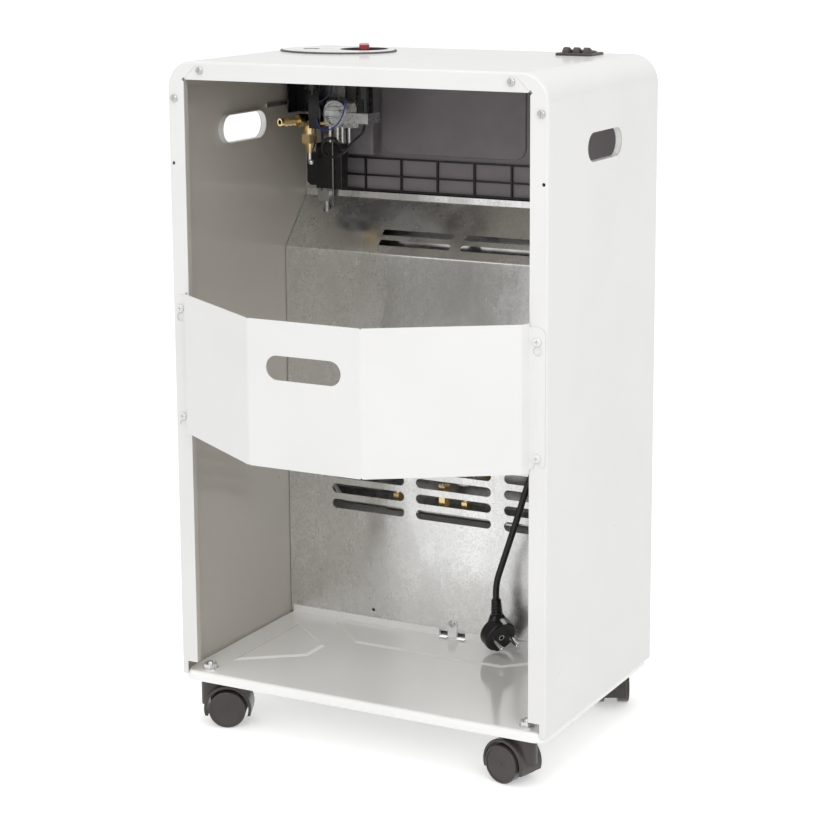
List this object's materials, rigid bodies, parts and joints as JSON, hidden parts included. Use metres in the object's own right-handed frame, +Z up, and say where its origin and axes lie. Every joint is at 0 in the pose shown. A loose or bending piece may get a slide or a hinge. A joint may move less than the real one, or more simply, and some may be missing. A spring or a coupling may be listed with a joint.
{
  "type": "portable gas cabinet heater",
  "caption": "Portable gas cabinet heater on castors, seen by its open back: white sheet casing, bottle bay with retainer, gas valve group, electric fan heater and mains lead.",
  "frame": {"origin": "on the floor, at the middle of the object's plan box without the mains lead", "axes": "+Z up, +Y out of the open back, +X towards the control knob's side"},
  "size_m": [0.42, 0.3874, 0.7057],
  "materials": {
    "white_enamel": "gloss",
    "galvanised": "spangled zinc",
    "steel": "satin",
    "chrome": "polished",
    "aluminium": "cast",
    "brass": "turned",
    "black_plastic": "moulded",
    "dark_plastic": "moulded",
    "grey_plastic": "moulded",
    "red_plastic": "moulded",
    "rubber": "moulded",
    "wheel": "moulded",
    "ceramic": "pressed fibre"
  },
  "bodies": {
    "cabinet": {"base_pan": "white_enamel", "burner_box": "galvanised", "cabinet_shell": "white_enamel", "caster_stems": "steel", "ceramic_plaques": "ceramic", "control_plate": "grey_plastic", "cord_coil": "rubber", "cord_gland": "black_plastic", "cord_lower": "rubber", "cord_tie": "black_plastic", "cord_upper": "rubber", "fan_housing": "galvanised", "fan_motor": "steel", "fascia_liner": "dark_plastic", "front_fascia": "dark_plastic", "gas_injectors": "brass", "gas_manifold": "steel", "gas_pipe": "steel", "gas_valve": "aluminium", "heating_element": "steel", "hose_elbow": "brass", "lower_front_panel": "white_enamel", "panel_screws": "white_enamel", "partition": "galvanised", "piezo_igniter": "black_plastic", "pilot_burner": "steel", "pilot_tube": "steel", "plug_body": "rubber", "plug_pins": "chrome", "reflector": "chrome", "retainer_pegs": "white_enamel", "spark_electrode": "ceramic", "switch_block": "black_plastic", "terminal_box": "black_plastic", "test_nipple": "brass", "thermocouple": "aluminium", "valve_bracket": "galvanised", "valve_cover": "black_plastic", "valve_leads": "rubber", "wire_guard": "steel"},
    "caster_rear_left": {"caster_hood_rear_left": "black_plastic"},
    "wheel_rear_left_a": {"caster_wheel_rear_left_a": "wheel"},
    "wheel_rear_left_b": {"caster_wheel_rear_left_b": "wheel"},
    "caster_rear_right": {"caster_hood_rear_right": "black_plastic"},
    "wheel_rear_right_a": {"caster_wheel_rear_right_a": "wheel"},
    "wheel_rear_right_b": {"caster_wheel_rear_right_b": "wheel"},
    "caster_front_right": {"caster_hood_front_right": "black_plastic"},
    "wheel_front_right_a": {"caster_wheel_front_right_a": "wheel"},
    "wheel_front_right_b": {"caster_wheel_front_right_b": "wheel"},
    "caster_front_left": {"caster_hood_front_left": "black_plastic"},
    "wheel_front_left_a": {"caster_wheel_front_left_a": "wheel"},
    "wheel_front_left_b": {"caster_wheel_front_left_b": "wheel"},
    "valve_spindle": {"valve_spindle": "steel"},
    "control_knob": {"control_knob": "red_plastic"},
    "igniter_button": {"igniter_button": "black_plastic"},
    "rocker_1": {"rocker_1": "black_plastic"},
    "rocker_2": {"rocker_2": "black_plastic"},
    "rocker_3": {"rocker_3": "black_plastic"},
    "bottle_retainer": {"bottle_retainer": "white_enamel"},
    "fan_rotor": {"fan_rotor": "aluminium"}
  },
  "joints": [
    {"name": "swivel_rear_left", "type": "hinge", "parent": "cabinet", "child": "caster_rear_left", "pos_m": [0.184, 0.08425, 0.0485], "axis": [0, 0, 1], "continuous": true},
    {"name": "roll_rear_left_a", "type": "hinge", "parent": "caster_rear_left", "child": "wheel_rear_left_a", "pos_m": [0.16678, 0.07622, 0.0195], "axis": [0.4226, -0.9063, 0], "continuous": true},
    {"name": "roll_rear_left_b", "type": "hinge", "parent": "caster_rear_left", "child": "wheel_rear_left_b", "pos_m": [0.16678, 0.07622, 0.0195], "axis": [0.4226, -0.9063, 0], "continuous": true},
    {"name": "swivel_rear_right", "type": "hinge", "parent": "cabinet", "child": "caster_rear_right", "pos_m": [-0.184, 0.08425, 0.0485], "axis": [0, 0, 1], "continuous": true},
    {"name": "roll_rear_right_a", "type": "hinge", "parent": "caster_rear_right", "child": "wheel_rear_right_a", "pos_m": [-0.16561, 0.07949, 0.0195], "axis": [0.2504, 0.9681, 0], "continuous": true},
    {"name": "roll_rear_right_b", "type": "hinge", "parent": "caster_rear_right", "child": "wheel_rear_right_b", "pos_m": [-0.16561, 0.07949, 0.0195], "axis": [0.2504, 0.9681, 0], "continuous": true},
    {"name": "swivel_front_right", "type": "hinge", "parent": "cabinet", "child": "caster_front_right", "pos_m": [-0.176, -0.14675, 0.0485], "axis": [0, 0, 1], "continuous": true},
    {"name": "roll_front_right_a", "type": "hinge", "parent": "caster_front_right", "child": "wheel_front_right_a", "pos_m": [-0.16708, -0.16353, 0.0195], "axis": [0.8829, 0.4695, 0], "continuous": true},
    {"name": "roll_front_right_b", "type": "hinge", "parent": "caster_front_right", "child": "wheel_front_right_b", "pos_m": [-0.16708, -0.16353, 0.0195], "axis": [0.8829, 0.4695, 0], "continuous": true},
    {"name": "swivel_front_left", "type": "hinge", "parent": "cabinet", "child": "caster_front_left", "pos_m": [0.176, -0.14675, 0.0485], "axis": [0, 0, 1], "continuous": true},
    {"name": "roll_front_left_a", "type": "hinge", "parent": "caster_front_left", "child": "wheel_front_left_a", "pos_m": [0.15955, -0.13725, 0.0195], "axis": [-0.5, -0.866, 0], "continuous": true},
    {"name": "roll_front_left_b", "type": "hinge", "parent": "caster_front_left", "child": "wheel_front_left_b", "pos_m": [0.15955, -0.13725, 0.0195], "axis": [-0.5, -0.866, 0], "continuous": true},
    {"name": "valve_press", "type": "slide", "parent": "cabinet", "child": "valve_spindle", "axis": [0, 0, -1], "range_m": [0, 0.003], "stiffness_N_per_m": 700, "springref_m": -0.002},
    {"name": "knob_turn", "type": "hinge", "parent": "valve_spindle", "child": "control_knob", "pos_m": [0.097, -0.10475, 0.6945], "axis": [0, 0, -1], "range_deg": [0, 210]},
    {"name": "igniter_press", "type": "slide", "parent": "cabinet", "child": "igniter_button", "axis": [0, 0, -1], "range_m": [0, 0.004], "stiffness_N_per_m": 900, "springref_m": -0.002},
    {"name": "rocker_1_tilt", "type": "hinge", "parent": "cabinet", "child": "rocker_1", "pos_m": [-0.1485, -0.13575, 0.695], "axis": [-1, 0, 0], "range_deg": [0, 24]},
    {"name": "rocker_2_tilt", "type": "hinge", "parent": "cabinet", "child": "rocker_2", "pos_m": [-0.1373, -0.13575, 0.695], "axis": [-1, 0, 0], "range_deg": [0, 24]},
    {"name": "rocker_3_tilt", "type": "hinge", "parent": "cabinet", "child": "rocker_3", "pos_m": [-0.1261, -0.13575, 0.695], "axis": [-1, 0, 0], "range_deg": [0, 24]},
    {"name": "retainer_lift", "type": "slide", "parent": "cabinet", "child": "bottle_retainer", "axis": [0, 0, 1], "range_m": [0, 0.009]},
    {"name": "fan_spin", "type": "hinge", "parent": "cabinet", "child": "fan_rotor", "pos_m": [-0.01, -0.14925, 0.1425], "axis": [1, 0, 0], "continuous": true}
  ]
}
